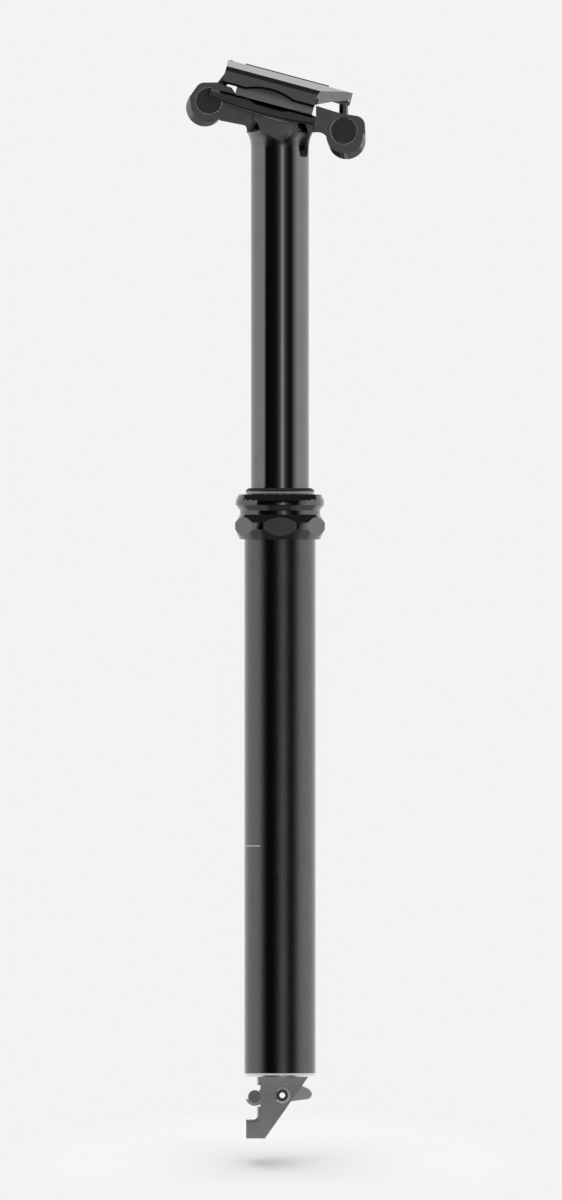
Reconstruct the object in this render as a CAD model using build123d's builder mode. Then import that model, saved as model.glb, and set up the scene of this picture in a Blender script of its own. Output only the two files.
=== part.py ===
from build123d import *
import os
from math import atan2, cos, degrees, hypot, pi, radians, sin, sqrt

# Dropper seatpost, standing upright, +Z up the post and +X to the front of the bike.
# The origin is on the post axis, at the line of least insertion on the lower tube.
# A fixed lower tube guides a sliding upper post with a two-bolt saddle clamp on its head.
# A damper shaft stands in the tube, and its valve opens when the cable pulls the foot lever.

# Fits and overruns
overrun = 2.0
press_gap = 0.02
running_gap = 0.05
loose_gap = 0.3
washer_gap = 0.35

# Travel and guides
travel = 150.0
drop_margin = 3.6
stanchion_radius = 13.0
stanchion_wall = 1.5
guide_spacing = 33.7
lower_bushing_length = 12.0
lower_bushing_lift = 2.0
lower_bushing_seat = 0.6
key_count = 3
key_length = 16.0
key_width = 3.0
key_sink = 0.8
keyway_depth = 0.7
top_bumper_height = 4.0
top_bumper_radius = 13.8
upper_bushing_length = 20.0

# Lower tube
tube_radius = 15.8
tube_wall = 1.7
tube_foot_bevel = 0.8
insertion_depth = 101.5
spigot_step = 0.6
spigot_height = 12.0

# Foot cap and bumper
cap_plug_height = 14.5
cap_flange = 0.6
cap_groove_lift = 7.0
o_ring_height = 2.0
o_ring_depth = 1.2
bottom_bumper_height = 10.0
bottom_bumper_gap = 0.5
bottom_bumper_radius = 11.0

# Collar, heights above its lower edge
collar_height = 20.4
collar_foot_radius = 17.9
collar_flange_radius = 20.0
collar_flange_low = 4.4
collar_flange_high = 7.4
collar_waist_radius = 17.9
collar_waist_low = 11.0
collar_waist_high = 12.8
collar_rim_radius = 19.7
collar_rim_low = 15.2
collar_rim_high = 17.2
collar_brow_radius = 18.5
collar_brow_drop = 0.5
collar_across_flats = 37.2
collar_flat_count = 6
collar_ring_lift = 2.0
collar_ring_height = 1.6
collar_ring_depth = 0.75

# Wiper seal, heights above the collar's top
seal_body_radius = 15.0
seal_lip_radius = 15.15
seal_lip_height = 1.05
seal_neck = 0.3
seal_top_height = 2.3
seal_top_radius = 13.9

# Damper shaft, piston and gas chamber
shaft_radius = 6.0
shaft_bore_radius = 3.0
shaft_seat_depth = 11.0
shaft_port_radius = 1.0
seal_head_height = 14.0
seal_head_groove_lift = 9.0
seal_head_groove_height = 3.0
seal_head_groove_depth = 1.5
top_out_room = 3.0
piston_height = 18.0
piston_socket_depth = 5.0
piston_web = 1.0
piston_lid_height = 3.0
piston_ring_height = 5.0
piston_ring_lift = 4.0
piston_ring_depth = 1.6
valve_chamber_radius = 8.0
port_radius = 1.4
port_circle_radius = 5.6
port_count = 3
floater_height = 12.0
floater_wall = 3.0
floater_margin = 6.0
floater_groove_height = 3.0
floater_groove_depth = 1.8
gas_roof = 9.0
fill_screw_radius = 2.5
fill_screw_length = 8.0
fill_screw_lift = 2.0
fill_screw_socket_radius = 1.2
fill_screw_socket_depth = 3.0

# Valve
valve_lift = 1.6
poppet_radius = 5.0
poppet_height = 3.0
rod_radius = 1.4
rod_hole_radius = 2.0
spring_radius = 3.2
spring_wire_radius = 0.4
spring_turns = 3

# Head of the upper post, heights above the top of its flare
flare_height = 6.0
base_radius = 14.7
bulge_height = 7.0
bulge_top_radius = 10.5
head_side_gap = 1.8
rear_neck_rise = 2.9
rear_neck_x = -26.5
rear_neck_height = 5.2
neck_fillet = 2.0
front_neck_x = 21.35
front_neck_depth = 4.7
front_neck_fillet = 4.6
ear_bevel = 2.5
ear_radius = 8.4
ear_face_radius = 8.2
rear_belly_x = -1.7
rear_belly_z = -3.0
rear_face_x = 0.1
rear_face_z = -1.3
rear_crown_height = 8.1
rear_crown_lean = 54.5
rear_crown_fillet = 4.0
rear_crown_end_x = -27.5
rear_slope_x = -19.0
rear_slope_drop = 3.2
front_belly_x = 1.3
front_belly_z = -4.2
front_face_x = 0.4
front_face_z = -1.8
front_side_x = 37.6
front_crown_height = 6.0
front_crown_fillet = 4.4
front_saddle_x = 26.5
front_saddle_height = 7.8
front_wall_x = 15.9
front_wall_height = 11.8
rear_pocket_near_x = -11.6
rear_pocket_far_x = -20.1
rear_pocket_height = 6.0
pocket_depth = 5.2
rear_scoop_x = -16.0
rear_scoop_radius = 7.2
front_pocket_near_x = 7.9
front_pocket_far_x = 15.2
front_pocket_top = 9.0
pocket_top = 13.0

# Saddle clamp, in its own tilted frame: forward, and up from the rails' axes
clamp_tilt = 15.0
rail_rise = 13.1
rail_radius = 3.5
rail_half_spacing = 22.0
clamp_half_width = 26.5
rocker_u = -1.0
rocker_v = 22.0
seat_radius = 30.0
cradle_rear_u = -31.0
cradle_front_u = 17.0
cradle_lip_v = -1.6
cradle_end_v = -5.7
cradle_belly_v = -7.3
cradle_lip_bevel = 1.2
rib_thickness = 3.5
rib_inner_width = rail_half_spacing - rail_radius - rib_thickness
head_half_width = rib_inner_width - head_side_gap
rib_rear_u = -20.2
rib_front_u = 15.0
block_rear_u = -18.0
block_front_u = 13.0
block_top_v = 0.5
rib_top_v = 4.3
relief_rear_u = -15.0
relief_front_u = 7.0
relief_depth_v = -4.4
top_rear_u = -27.0
top_shoulder_u = 15.1
top_tip_u = 30.0
top_tip_half_width = 8.0
skirt_foot_v = 1.9
skirt_top_v = 7.6
brow_v = 9.6
brow_inset = 1.2
ridge_v = 12.4
ridge_half_width = 11.0
pad_half_width = 8.5
pad_half_length = 19.0
pad_rise = 0.5
top_underside_v = 6.5
top_side_gap = 0.5
top_underside_half_width = rib_inner_width - top_side_gap
rib_clear_v = 4.6
facet_foot_v = 3.0
facet_mid_u = 22.4
facet_mid_v = 6.5
facet_tip_v = 9.2
arch_rear_u = -16.0
arch_front_u = 5.3
arch_rise_v = 4.1

# Clamp bolts, their barrel nuts and half-round washers
rear_nut_u = -30.6
rear_nut_v = -7.3
front_nut_u = 30.4
front_nut_v = -4.7
rear_trunnion_u = -22.45
front_trunnion_u = 25.95
trunnion_v = 11.9
nut_radius = 5.9
nut_inset = 0.2
nut_half_length = head_half_width - nut_inset
nut_bevel = 0.5
bolt_radius = 2.0
bolt_tail = 4.0
bolt_head_radius = 3.5
bolt_head_height = 2.2
bolt_socket_radius = 1.5
bolt_socket_depth = 1.4
bolt_swing_room = 1.6
bolt_hole_radius = 3.2
bolt_boss_radius = 4.2
bolt_boss_v = 6.3
washer_radius = 4.4
washer_flat = 2.6
washer_half_length = 5.0

# Foot lever and its bracket, from the post axis and the tube's lower end
pivot_x = 1.0
pivot_drop = 8.8
bracket_half_width = 4.8
bracket_slot_half_width = 2.8
bracket_roof = 0.9
bracket_rear_x = -10.2
bracket_rear_wall = 1.5
bracket_front_x = 12.5
bracket_notch_fillet = 1.5
bracket_boss_radius = 4.5
bracket_boss_height = 3.0
window_top_drop = 4.3
window_bottom_drop = 13.8
foot_rear_x = -15.0
foot_front_x = -6.7
foot_top_drop = 19.5
foot_bottom_drop = 27.9
housing_radius = 2.55
housing_depth = 5.5
cable_radius = 0.9
pin_radius = 2.5
pin_bore_radius = 1.25
pin_overhang = 1.6
pin_head_radius = 3.4
pin_head_height = 0.8
clip_outer_radius = 3.5
clip_groove_depth = 0.6
clip_thickness = 0.6
clip_mouth_half_angle = 38.0
clip_finger_width = 1.0
lever_half_width = 2.5
lever_hub_radius = 4.2
lever_pull = 20.0
cam_lead_in = 3.0
cam_step_count = 7
rod_tip_height = 6.0
nose_top_x = 10.0
nose_top_drop = 4.7
nose_x = 12.0
nose_drop = 8.3
nose_radius = 2.1
nose_foot_x = 4.9
nose_foot_drop = 11.5
barrel_x = -11.2
barrel_drop = 9.4
barrel_radius = 2.9
hook_wall = 1.15
hook_tip_angle = 197.0
hook_mouth_angle = 55.0
set_screw_radius = 1.2
set_screw_length = 1.6
set_screw_sink = 0.4

# Heights and radii that follow from these
bore_radius = tube_radius - tube_wall
chamber_radius = stanchion_radius - stanchion_wall
overlap = guide_spacing + key_length + top_bumper_height + loose_gap + upper_bushing_length - spigot_height
tube_length = cap_plug_height + bottom_bumper_height + bottom_bumper_gap + travel + overlap
tube_foot_z = -insertion_depth
tube_head_z = tube_foot_z + tube_length
spigot_top_z = tube_head_z + spigot_height
collar_top_z = tube_head_z + collar_height
bushing_foot_z = spigot_top_z - upper_bushing_length
stanchion_foot_z = tube_head_z - overlap
key_foot_z = stanchion_foot_z + guide_spacing
key_top_z = key_foot_z + key_length
flare_z = collar_top_z + travel + drop_margin
base_z = flare_z + flare_height
rail_z = base_z + rail_rise
chamber_top_z = flare_z - gas_roof
cap_top_z = tube_foot_z + cap_plug_height
piston_z = stanchion_foot_z + seal_head_height + top_out_room
piston_top_z = piston_z + piston_height
shaft_top_z = piston_z + piston_socket_depth
valve_seat_z = shaft_top_z + piston_web
piston_lid_z = piston_top_z - piston_lid_height
poppet_z = valve_seat_z + loose_gap
floater_shift = travel * (shaft_radius / chamber_radius) ** 2
floater_z = piston_top_z + travel - floater_shift + floater_margin
pivot_z = tube_foot_z - pivot_drop
barrel_z = tube_foot_z - barrel_drop
cam_rate = valve_lift / radians(lever_pull)

clamp_forward = Vector(cos(radians(clamp_tilt)), 0, -sin(radians(clamp_tilt)))
clamp_up = Vector(sin(radians(clamp_tilt)), 0, cos(radians(clamp_tilt)))
clamp_origin = Vector(0, 0, rail_z)
clamp_side = Plane(origin=clamp_origin, x_dir=clamp_forward, z_dir=(0, -1, 0))
clamp_plan = Plane(origin=clamp_origin, x_dir=clamp_forward, z_dir=clamp_up)
clamp_section = Plane(origin=clamp_origin, x_dir=(0, 1, 0), z_dir=clamp_forward)


def clamp_point(forward, up):
    """A place in the clamp's frame as a point of the part."""
    return clamp_origin + clamp_forward * forward + clamp_up * up


def side_pair(point):
    """A point of the part as the pair of its X and Z."""
    return (point.X, point.Z)


rear_nut = clamp_point(rear_nut_u, rear_nut_v)
front_nut = clamp_point(front_nut_u, front_nut_v)
rear_trunnion = clamp_point(rear_trunnion_u, trunnion_v)
front_trunnion = clamp_point(front_trunnion_u, trunnion_v)
rocker = clamp_point(rocker_u, rocker_v)


def half_outline(*points):
    """A closed outline of radius and height pairs beside the post axis, ready to revolve."""
    with BuildSketch(Plane.XZ) as outline:
        with BuildLine():
            Polyline(*points, close=True)
        make_face()
    return outline.sketch


def ring_outline(inner, outer, low, high):
    """The half section of a plain ring about the post axis."""
    return half_outline((inner, low), (outer, low), (outer, high), (inner, high))


def make_lower_tube():
    with BuildPart() as lower_tube:
        spigot_radius = tube_radius - spigot_step
        wall = half_outline(
            (bore_radius, tube_foot_z),
            (tube_radius - tube_foot_bevel, tube_foot_z),
            (tube_radius, tube_foot_z + tube_foot_bevel),
            (tube_radius, tube_head_z),
            (spigot_radius, tube_head_z),
            (spigot_radius, spigot_top_z),
            (bore_radius, spigot_top_z),
        )
        revolve(wall, Axis.Z)
        with BuildSketch(Plane.XY.offset(cap_top_z)):
            with PolarLocations(bore_radius, key_count):
                Rectangle(2 * keyway_depth, key_width + 2 * running_gap)
        extrude(amount=bushing_foot_z - cap_top_z, mode=Mode.SUBTRACT)
    lower_tube.part.label = "lower_tube"
    export_step(lower_tube.part, "parts/lower_tube.step")


def make_collar():
    with BuildPart() as collar:
        skirt_radius = tube_radius - spigot_step + press_gap
        body = half_outline(
            (skirt_radius, tube_head_z),
            (collar_foot_radius, tube_head_z),
            (collar_flange_radius, tube_head_z + collar_flange_low),
            (collar_flange_radius, tube_head_z + collar_flange_high),
            (collar_waist_radius, tube_head_z + collar_waist_low),
            (collar_waist_radius, tube_head_z + collar_waist_high),
            (collar_rim_radius, tube_head_z + collar_rim_low),
            (collar_rim_radius, tube_head_z + collar_rim_high),
            (collar_brow_radius, collar_top_z - collar_brow_drop),
            (seal_body_radius + seal_neck, collar_top_z),
            (seal_body_radius + press_gap, collar_top_z),
            (seal_body_radius + press_gap, spigot_top_z),
            (skirt_radius, spigot_top_z),
        )
        revolve(body, Axis.Z)
        groove_z = tube_head_z + collar_ring_lift
        groove = ring_outline(
            skirt_radius - overrun, skirt_radius + collar_ring_depth, groove_z, groove_z + collar_ring_height
        )
        revolve(groove, Axis.Z, mode=Mode.SUBTRACT)
        with BuildSketch(Plane.XY.offset(tube_head_z)):
            Circle(collar_flange_radius + overrun)
            RegularPolygon(
                collar_across_flats / 2, collar_flat_count, major_radius=False, mode=Mode.SUBTRACT
            )
        extrude(amount=collar_waist_high, mode=Mode.SUBTRACT)
    collar.part.label = "collar"
    export_step(collar.part, "parts/collar.step")


def make_collar_o_ring():
    with BuildPart() as collar_o_ring:
        inner = tube_radius - spigot_step + press_gap
        low = tube_head_z + collar_ring_lift + press_gap
        high = low + collar_ring_height - 2 * press_gap
        revolve(ring_outline(inner, inner + collar_ring_depth - press_gap, low, high), Axis.Z)
    collar_o_ring.part.label = "collar_o_ring"
    export_step(collar_o_ring.part, "parts/collar_o_ring.step")


def make_wiper_seal():
    with BuildPart() as wiper_seal:
        seal_bore = stanchion_radius + running_gap
        body = half_outline(
            (seal_bore, spigot_top_z),
            (seal_body_radius, spigot_top_z),
            (seal_body_radius, collar_top_z + seal_neck),
            (seal_lip_radius, collar_top_z + seal_neck),
            (seal_lip_radius, collar_top_z + seal_neck + seal_lip_height),
            (seal_top_radius, collar_top_z + seal_top_height),
            (seal_bore, collar_top_z + seal_top_height),
        )
        revolve(body, Axis.Z)
    wiper_seal.part.label = "wiper_seal"
    export_step(wiper_seal.part, "parts/wiper_seal.step")


def make_upper_bushing():
    with BuildPart() as upper_bushing:
        inner = stanchion_radius + running_gap
        revolve(ring_outline(inner, bore_radius - press_gap, bushing_foot_z, spigot_top_z), Axis.Z)
    upper_bushing.part.label = "upper_bushing"
    export_step(upper_bushing.part, "parts/upper_bushing.step")


def make_foot_cap():
    with BuildPart() as foot_cap:
        flange_z = tube_foot_z - cap_flange
        seat_z = cap_top_z - shaft_seat_depth
        body = half_outline(
            (rod_hole_radius, flange_z),
            (tube_radius - tube_foot_bevel, flange_z),
            (tube_radius - tube_foot_bevel, tube_foot_z),
            (bore_radius - press_gap, tube_foot_z),
            (bore_radius - press_gap, cap_top_z),
            (shaft_radius + press_gap, cap_top_z),
            (shaft_radius + press_gap, seat_z),
            (rod_hole_radius, seat_z),
        )
        revolve(body, Axis.Z)
        groove_z = tube_foot_z + cap_groove_lift
        groove = ring_outline(
            bore_radius - o_ring_depth, bore_radius + overrun, groove_z, groove_z + o_ring_height
        )
        revolve(groove, Axis.Z, mode=Mode.SUBTRACT)
        socket = ring_outline(
            0, bracket_boss_radius + press_gap, flange_z - overrun, flange_z + bracket_boss_height
        )
        revolve(socket, Axis.Z, mode=Mode.SUBTRACT)
    foot_cap.part.label = "foot_cap"
    export_step(foot_cap.part, "parts/foot_cap.step")


def make_foot_cap_o_ring():
    with BuildPart() as foot_cap_o_ring:
        inner = bore_radius - o_ring_depth + press_gap
        low = tube_foot_z + cap_groove_lift + press_gap
        high = low + o_ring_height - 2 * press_gap
        revolve(ring_outline(inner, bore_radius - press_gap, low, high), Axis.Z)
    foot_cap_o_ring.part.label = "foot_cap_o_ring"
    export_step(foot_cap_o_ring.part, "parts/foot_cap_o_ring.step")


def make_damper_shaft():
    with BuildPart() as damper_shaft:
        low = cap_top_z - shaft_seat_depth
        revolve(ring_outline(shaft_bore_radius, shaft_radius, low, shaft_top_z), Axis.Z)
        with BuildSketch(Plane.XZ):
            with Locations((0, piston_z - top_out_room / 2)):
                Circle(shaft_port_radius)
        extrude(amount=shaft_radius + overrun, both=True, mode=Mode.SUBTRACT)
    damper_shaft.part.label = "damper_shaft"
    export_step(damper_shaft.part, "parts/damper_shaft.step")


def make_bottom_out_bumper():
    with BuildPart() as bottom_out_bumper:
        inner = shaft_radius + running_gap
        high = cap_top_z + bottom_bumper_height
        revolve(ring_outline(inner, bottom_bumper_radius, cap_top_z, high), Axis.Z)
    bottom_out_bumper.part.label = "bottom_out_bumper"
    export_step(bottom_out_bumper.part, "parts/bottom_out_bumper.step")


def make_piston_head():
    with BuildPart() as piston_head:
        rim_radius = chamber_radius - running_gap
        body = half_outline(
            (shaft_radius + press_gap, piston_z),
            (rim_radius, piston_z),
            (rim_radius, piston_top_z),
            (valve_chamber_radius, piston_top_z),
            (valve_chamber_radius, valve_seat_z),
            (rod_hole_radius, valve_seat_z),
            (rod_hole_radius, shaft_top_z),
            (shaft_radius + press_gap, shaft_top_z),
        )
        revolve(body, Axis.Z)
        groove_z = piston_z + piston_ring_lift
        groove = ring_outline(
            rim_radius - piston_ring_depth, rim_radius + overrun, groove_z, groove_z + piston_ring_height
        )
        revolve(groove, Axis.Z, mode=Mode.SUBTRACT)
    piston_head.part.label = "piston_head"
    export_step(piston_head.part, "parts/piston_head.step")


def make_piston_ring():
    with BuildPart() as piston_ring:
        inner = chamber_radius - running_gap - piston_ring_depth + press_gap
        low = piston_z + piston_ring_lift + press_gap
        high = low + piston_ring_height - 2 * press_gap
        revolve(ring_outline(inner, chamber_radius - running_gap, low, high), Axis.Z)
    piston_ring.part.label = "piston_ring"
    export_step(piston_ring.part, "parts/piston_ring.step")


def make_valve_lid():
    with BuildPart() as valve_lid:
        with BuildSketch(Plane.XY.offset(piston_lid_z)):
            Circle(valve_chamber_radius - press_gap)
            with PolarLocations(port_circle_radius, port_count):
                Circle(port_radius, mode=Mode.SUBTRACT)
        extrude(amount=piston_lid_height)
    valve_lid.part.label = "valve_lid"
    export_step(valve_lid.part, "parts/valve_lid.step")


def make_valve_spring():
    with BuildPart() as valve_spring:
        low = poppet_z + poppet_height + spring_wire_radius + press_gap
        high = piston_lid_z - spring_wire_radius - press_gap
        rise = high - low
        coil = Helix(rise / spring_turns, rise, spring_radius, center=(0, 0, low), mode=Mode.PRIVATE)
        with BuildSketch(Plane(origin=coil @ 0, z_dir=coil % 0)):
            Rectangle(2 * spring_wire_radius, 2 * spring_wire_radius)
        sweep(path=coil, is_frenet=True)
    valve_spring.part.label = "valve_spring"
    export_step(valve_spring.part, "parts/valve_spring.step")


def make_push_rod():
    with BuildPart() as push_rod:
        tip_z = pivot_z + rod_tip_height
        length = poppet_z - tip_z
        with Locations((0, 0, tip_z)):
            Cylinder(rod_radius, length, align=(Align.CENTER, Align.CENTER, Align.MIN))
            Sphere(rod_radius)
    push_rod.part.label = "push_rod"
    export_step(push_rod.part, "parts/push_rod.step")


def make_valve_poppet():
    with BuildPart() as valve_poppet:
        revolve(ring_outline(0, poppet_radius, poppet_z, poppet_z + poppet_height), Axis.Z)
        chamfer(valve_poppet.edges().sort_by(Axis.Z)[0], poppet_height / 3)
    valve_poppet.part.label = "valve_poppet"
    export_step(valve_poppet.part, "parts/valve_poppet.step")


def ear_belly(nut, shift_x, shift_z):
    """Centre of the round underside of an ear, from its nut."""
    return (nut.X + shift_x, nut.Z + shift_z)


def head_outline():
    """The near face of the head from the side, with its two ears."""
    face = ear_face_radius
    rear_face = ear_belly(rear_nut, rear_face_x, rear_face_z)
    front_face = ear_belly(front_nut, front_face_x, front_face_z)
    belly = ear_belly(rear_nut, rear_belly_x, rear_belly_z)
    lean = radians(rear_crown_lean)
    crown_z = rear_nut.Z + rear_crown_height
    touch = (belly[0] - ear_radius * sin(lean), belly[1] + ear_radius * cos(lean))
    crown = (touch[0] + (crown_z - touch[1]) * cos(lean) / sin(lean), crown_z)
    front_crown = (front_side_x, front_nut.Z + front_crown_height)
    neck_top = (-base_radius, base_z + rear_neck_rise)
    armpit = (front_neck_x, base_z)
    corners = [
        (-base_radius, base_z, 0),
        (-base_radius, base_z + rear_neck_rise, neck_fillet),
        (rear_neck_x, base_z + rear_neck_height, 0),
        (*rear_face, 0),
        (rear_face[0] - face, rear_face[1], 0),
        (*touch, 0),
        (*crown, rear_crown_fillet),
        (rear_crown_end_x, crown_z, 0),
        (rear_slope_x, crown_z - rear_slope_drop, 0),
        (0, crown_z - rear_slope_drop, 0),
        (front_wall_x, base_z + front_wall_height, 0),
        (front_saddle_x, front_nut.Z + front_saddle_height, 0),
        (*front_crown, front_crown_fillet),
        (front_side_x, front_nut.Z, 0),
        (front_face[0] + face, front_face[1], 0),
        (*front_face, 0),
        (front_neck_x, base_z - front_neck_depth, 0),
        (front_neck_x, base_z, front_neck_fillet),
    ]
    points = [(x, z) for x, z, rounding in corners]
    roundings = [rounding for x, z, rounding in corners]
    with BuildSketch(Plane.XZ) as outline:
        with BuildLine():
            FilletPolyline(*points, radius=roundings, close=True)
        make_face()
    return outline.sketch


def ear_cone(nut, belly_shift, face_shift, side):
    """The slanted rim of one ear, from its round belly out to its flat face."""
    outer = side * head_half_width
    inner = side * (head_half_width - ear_bevel)
    rims = []
    for depth, shift, radius in ((inner, belly_shift, ear_radius), (outer, face_shift, ear_face_radius)):
        centre = (nut.X + shift[0], depth, nut.Z + shift[1])
        with BuildSketch(Plane(origin=centre, x_dir=(1, 0, 0), z_dir=(0, -1, 0))) as rim:
            Circle(radius)
        rims.append(rim.sketch)
    return loft(rims, ruled=True, mode=Mode.PRIVATE)


def bolt_plane(nut, trunnion):
    """A plane at a nut's centre, facing along its bolt."""
    return Plane(origin=nut, x_dir=(0, 1, 0), z_dir=trunnion - nut)


def make_upper_post():
    half = head_half_width
    ears = (
        (rear_nut, rear_trunnion, (rear_belly_x, rear_belly_z), (rear_face_x, rear_face_z)),
        (front_nut, front_trunnion, (front_belly_x, front_belly_z), (front_face_x, front_face_z)),
    )
    with BuildPart() as upper_post:
        extrude(head_outline(), amount=half, both=True)
        # Side pockets, open downwards at the rear scoop
        with BuildSketch(Plane.XZ, mode=Mode.PRIVATE) as pockets:
            with BuildLine():
                Polyline(
                    (rear_pocket_far_x, base_z + rear_pocket_height),
                    (rear_pocket_near_x, base_z + rear_pocket_height),
                    (rear_pocket_near_x, base_z + pocket_top),
                    (rear_pocket_far_x, base_z + pocket_top),
                    close=True,
                )
            make_face()
            with BuildLine():
                CenterArc((rear_scoop_x, base_z), rear_scoop_radius, 0, 90)
                Polyline(
                    (rear_scoop_x, base_z + rear_scoop_radius),
                    (rear_scoop_x, base_z - overrun),
                    (rear_scoop_x + rear_scoop_radius, base_z - overrun),
                    (rear_scoop_x + rear_scoop_radius, base_z),
                )
            make_face()
            with BuildLine():
                Polyline(
                    (front_pocket_near_x, base_z - overrun),
                    (front_pocket_far_x, base_z - overrun),
                    (front_pocket_far_x, base_z + front_pocket_top),
                    (front_pocket_near_x, base_z + front_pocket_top),
                    close=True,
                )
            make_face()
        for side in (-1, 1):
            floor_y = side * (half - pocket_depth)
            cutter = extrude(
                pockets.sketch.moved(Location((0, floor_y, 0))),
                amount=pocket_depth + overrun,
                dir=(0, side, 0),
                mode=Mode.PRIVATE,
            )
            add(cutter, mode=Mode.SUBTRACT)
        # Round bellies of the ears and their slanted rims
        for nut, trunnion, belly_shift, face_shift in ears:
            belly = ear_belly(nut, *belly_shift)
            with BuildSketch(Plane.XZ):
                with Locations(belly):
                    Circle(ear_radius)
            extrude(amount=half - ear_bevel, both=True)
            for side in (-1, 1):
                add(ear_cone(nut, belly_shift, face_shift, side))
        with BuildSketch(Plane.XZ):
            belly = ear_belly(front_nut, front_belly_x, front_belly_z)
            with BuildLine():
                Polyline(
                    belly,
                    (belly[0] + ear_radius, belly[1]),
                    (front_side_x, front_nut.Z + front_crown_height - front_crown_fillet),
                    (front_nut.X, front_nut.Z + front_crown_height - front_crown_fillet),
                    close=True,
                )
            make_face()
        extrude(amount=half - ear_bevel, both=True)
        # Tube, flare and the round bulge that rises into the pockets
        with BuildSketch(Plane.XZ):
            with BuildLine():
                Polyline(
                    (0, stanchion_foot_z),
                    (stanchion_radius, stanchion_foot_z),
                    (stanchion_radius, flare_z),
                )
                flare = TangentArc((stanchion_radius, flare_z), (base_radius, base_z), tangent=(0, 1))
                bulge = ThreePointArc(
                    flare @ 1,
                    (base_radius - (base_radius - bulge_top_radius) / 4, base_z + bulge_height / 2),
                    (bulge_top_radius, base_z + bulge_height),
                )
                Polyline(bulge @ 1, (0, base_z + bulge_height), (0, stanchion_foot_z))
            make_face()
        revolve(axis=Axis.Z)
        # Flat sides
        for side in (-1, 1):
            with BuildSketch(Plane.XY.offset(flare_z)):
                with Locations((0, side * (half + base_radius))):
                    Rectangle(4 * base_radius, 2 * base_radius)
            extrude(amount=flare_height + bulge_height, mode=Mode.SUBTRACT)
        # Cradle seat, as far forward as the front ear's wall
        with BuildSketch(Plane.XZ):
            with Locations(side_pair(rocker)):
                Circle(seat_radius)
            with Locations((front_wall_x - seat_radius, rail_z)):
                Rectangle(2 * seat_radius, 4 * seat_radius, mode=Mode.INTERSECT)
        extrude(amount=half + overrun, both=True, mode=Mode.SUBTRACT)
        # Nut bores and the slots in which the bolts swing
        for nut, trunnion, belly_shift, face_shift in ears:
            with BuildSketch(Plane.XZ):
                with Locations(side_pair(nut)):
                    Circle(nut_radius + running_gap)
            extrude(amount=half + overrun, both=True, mode=Mode.SUBTRACT)
            with BuildSketch(bolt_plane(nut, trunnion)):
                Rectangle(2 * bolt_hole_radius, 2 * (bolt_radius + bolt_swing_room))
            extrude(amount=rail_rise, mode=Mode.SUBTRACT)
        # Gas chamber, its fill hole, bushing seat and key slots
        revolve(ring_outline(0, chamber_radius, stanchion_foot_z, chamber_top_z), Axis.Z, mode=Mode.SUBTRACT)
        revolve(ring_outline(0, fill_screw_radius, chamber_top_z, rail_z), Axis.Z, mode=Mode.SUBTRACT)
        seat_low = stanchion_foot_z + lower_bushing_lift
        seat = ring_outline(
            stanchion_radius - lower_bushing_seat,
            stanchion_radius + overrun,
            seat_low,
            seat_low + lower_bushing_length,
        )
        revolve(seat, Axis.Z, mode=Mode.SUBTRACT)
        with BuildSketch(Plane.XY.offset(key_foot_z)):
            with PolarLocations(stanchion_radius, key_count):
                Rectangle(2 * key_sink, key_width)
        extrude(amount=key_length, mode=Mode.SUBTRACT)
    upper_post.part.label = "upper_post"
    export_step(upper_post.part, "parts/upper_post.step")


def make_lower_bushing():
    with BuildPart() as lower_bushing:
        inner = stanchion_radius - lower_bushing_seat + press_gap
        low = stanchion_foot_z + lower_bushing_lift + press_gap
        high = low + lower_bushing_length - 2 * press_gap
        revolve(ring_outline(inner, bore_radius - running_gap, low, high), Axis.Z)
    lower_bushing.part.label = "lower_bushing"
    export_step(lower_bushing.part, "parts/lower_bushing.step")


def make_guide_keys():
    with BuildPart() as guide_keys:
        inner = stanchion_radius - key_sink + press_gap
        outer = bore_radius + keyway_depth - 2 * running_gap
        with BuildSketch(Plane.XY.offset(key_foot_z + press_gap)):
            with PolarLocations((inner + outer) / 2, key_count):
                Rectangle(outer - inner, key_width - 2 * press_gap)
        extrude(amount=key_length - 2 * press_gap)
    guide_keys.part.label = "guide_keys"
    export_step(guide_keys.part, "parts/guide_keys.step")


def make_top_out_bumper():
    with BuildPart() as top_out_bumper:
        inner = stanchion_radius + press_gap
        high = key_top_z + top_bumper_height
        revolve(ring_outline(inner, top_bumper_radius, key_top_z, high), Axis.Z)
    top_out_bumper.part.label = "top_out_bumper"
    export_step(top_out_bumper.part, "parts/top_out_bumper.step")


def make_seal_head():
    with BuildPart() as seal_head:
        inner = shaft_radius + running_gap
        top = stanchion_foot_z + seal_head_height
        revolve(ring_outline(inner, chamber_radius - press_gap, stanchion_foot_z, top), Axis.Z)
        groove_z = stanchion_foot_z + seal_head_groove_lift
        groove = ring_outline(
            inner - overrun, inner + seal_head_groove_depth, groove_z, groove_z + seal_head_groove_height
        )
        revolve(groove, Axis.Z, mode=Mode.SUBTRACT)
    seal_head.part.label = "seal_head"
    export_step(seal_head.part, "parts/seal_head.step")


def make_shaft_seal():
    with BuildPart() as shaft_seal:
        inner = shaft_radius + running_gap
        low = stanchion_foot_z + seal_head_groove_lift + press_gap
        high = low + seal_head_groove_height - 2 * press_gap
        revolve(ring_outline(inner, inner + seal_head_groove_depth - press_gap, low, high), Axis.Z)
    shaft_seal.part.label = "shaft_seal"
    export_step(shaft_seal.part, "parts/shaft_seal.step")


def make_gas_fill_screw():
    with BuildPart() as gas_fill_screw:
        low = chamber_top_z + fill_screw_lift
        high = low + fill_screw_length
        revolve(ring_outline(0, fill_screw_radius - press_gap, low, high), Axis.Z)
        with BuildSketch(Plane.XY.offset(high)):
            RegularPolygon(fill_screw_socket_radius, collar_flat_count)
        extrude(amount=-fill_screw_socket_depth, mode=Mode.SUBTRACT)
    gas_fill_screw.part.label = "gas_fill_screw"
    export_step(gas_fill_screw.part, "parts/gas_fill_screw.step")


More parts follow.
